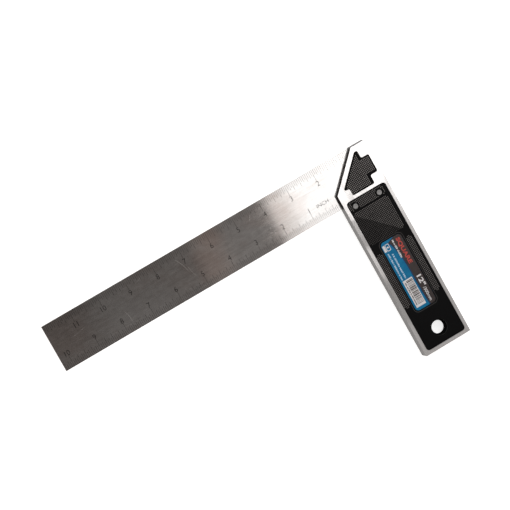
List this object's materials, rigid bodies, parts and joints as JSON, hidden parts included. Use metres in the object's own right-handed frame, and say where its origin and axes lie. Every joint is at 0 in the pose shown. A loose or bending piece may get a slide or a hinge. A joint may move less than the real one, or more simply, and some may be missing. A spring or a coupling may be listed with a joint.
{
  "type": "try square",
  "caption": "Flat steel blade with inch scales, held at a right angle in a cast stock with a 45 degree shoulder, moulded grip covers and a hanging hole.",
  "frame": {"origin": "under the middle of the whole square's box, on the plane of the stock's back face", "axes": "+X along the blade towards the stock, +Y across the blade towards its outer edge, with the stock reaching along -Y, +Z through the thickness towards the labelled face"},
  "size_m": [0.3048, 0.1806, 0.013],
  "materials": {
    "blade_steel": "long-grain brushed, with etched black inch scales",
    "cast_stock": "die-cast, faces lightly milled",
    "grip_plastic": "black, moulded with a fine diamond grip pattern",
    "rivet_metal": "dull grey, pressed",
    "label_film": "printed vinyl film, blue and dark grey"
  },
  "bodies": {
    "root": {"blade": "blade_steel", "stock": "cast_stock", "grip_cover_front": "grip_plastic", "grip_cover_back": "grip_plastic", "mitre_cover_front": "grip_plastic", "mitre_cover_back": "grip_plastic", "blade_rivet_top": "rivet_metal", "blade_rivet_outer": "rivet_metal", "blade_rivet_inner": "rivet_metal", "grip_rivet_inner": "rivet_metal", "grip_rivet_outer": "rivet_metal", "label": "label_film"}
  },
  "joints": []
}
